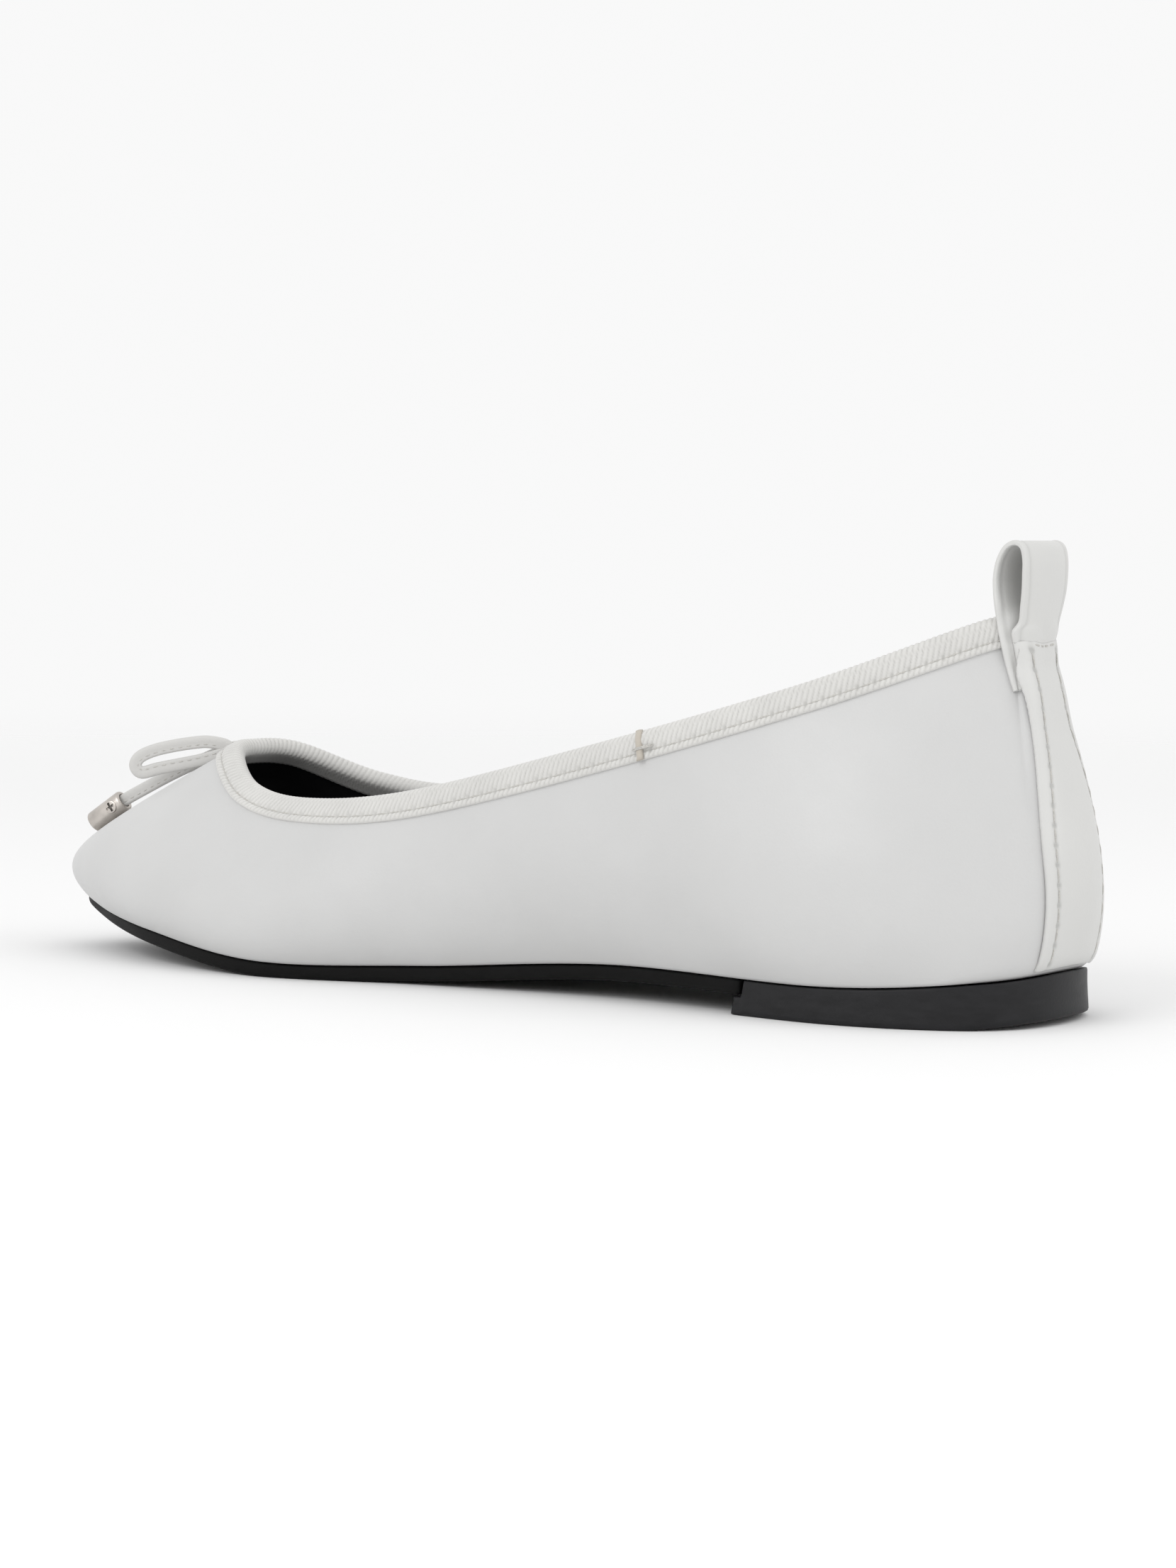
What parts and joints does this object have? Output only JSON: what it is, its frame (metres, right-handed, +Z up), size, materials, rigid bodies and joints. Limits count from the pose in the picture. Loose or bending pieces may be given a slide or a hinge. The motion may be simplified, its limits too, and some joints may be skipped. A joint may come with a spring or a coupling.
{
  "type": "ballet slipper",
  "caption": "Flat ballet slipper for the right foot, pale satin upper with ribbon-bound topline, back strap with pull loop, and a corded bow with metal ends.",
  "frame": {"origin": "bottom centre of the bounding box, measured without the free ends of the bow", "axes": "+X towards the toe, +Y towards the medial side of the foot, +Z up"},
  "size_m": [0.2526, 0.0792, 0.0917],
  "materials": {
    "upper": "satin pale grey, smooth, with a very fine grain",
    "ribbon": "matte off-white grosgrain with fine cross ribs",
    "strap": "satin off-white, edge-stitched",
    "cord": "satin off-white flat cord with a stitched edge",
    "aglet_metal": "polished warm metal",
    "sole": "satin black, smooth",
    "lining": "matte black",
    "board": "matte pressed fibre board",
    "stiffener": "matte thermoplastic sheet",
    "foam": "matte open foam",
    "filler": "matte cork and felt filler",
    "shank_steel": "brushed spring steel"
  },
  "bodies": {
    "shoe": {"outsole": "sole", "heel_block": "sole", "shank": "shank_steel", "bottom_filler": "filler", "insole_board": "board", "footbed_foam": "foam", "sock_lining": "lining", "upper": "upper", "vamp_lining": "lining", "quarter_lining": "lining", "toe_puff": "stiffener", "heel_counter": "stiffener", "heel_grip": "lining", "topline_binding": "ribbon", "back_strap": "strap", "bow_knot": "cord"},
    "pull_loop": {"pull_loop": "strap"},
    "bow_loop_medial": {"bow_loop_medial": "cord"},
    "bow_loop_lateral": {"bow_loop_lateral": "cord"},
    "bow_tail_medial": {"bow_tail_medial": "cord", "aglet_medial": "aglet_metal", "aglet_screw_medial": "aglet_metal"},
    "bow_tail_lateral": {"bow_tail_lateral": "cord", "aglet_lateral": "aglet_metal", "aglet_screw_lateral": "aglet_metal"}
  },
  "joints": [
    {"name": "pull_loop_bend", "type": "hinge", "parent": "shoe", "child": "pull_loop", "pos_m": [-0.11356, 0.00072, 0.07832], "axis": [0, 1, 0], "range_deg": [-50, 30], "stiffness_Nm_per_rad": 0.003},
    {"name": "bow_loop_medial_lift", "type": "hinge", "parent": "shoe", "child": "bow_loop_medial", "pos_m": [0.0833, 0.00073, 0.04697], "axis": [0.5878, -0.809, 0], "range_deg": [0, 30]},
    {"name": "bow_loop_lateral_lift", "type": "hinge", "parent": "shoe", "child": "bow_loop_lateral", "pos_m": [0.0833, 0.00073, 0.04697], "axis": [-0.8829, -0.4695, 0], "range_deg": [0, 30]},
    {"name": "bow_tail_medial_lift", "type": "hinge", "parent": "shoe", "child": "bow_tail_medial", "pos_m": [0.0833, 0.00073, 0.04697], "axis": [0.1908, -0.9816, 0], "range_deg": [0, 40]},
    {"name": "bow_tail_lateral_lift", "type": "hinge", "parent": "shoe", "child": "bow_tail_lateral", "pos_m": [0.0833, 0.00073, 0.04697], "axis": [-0.2419, -0.9703, 0], "range_deg": [0, 40]}
  ]
}
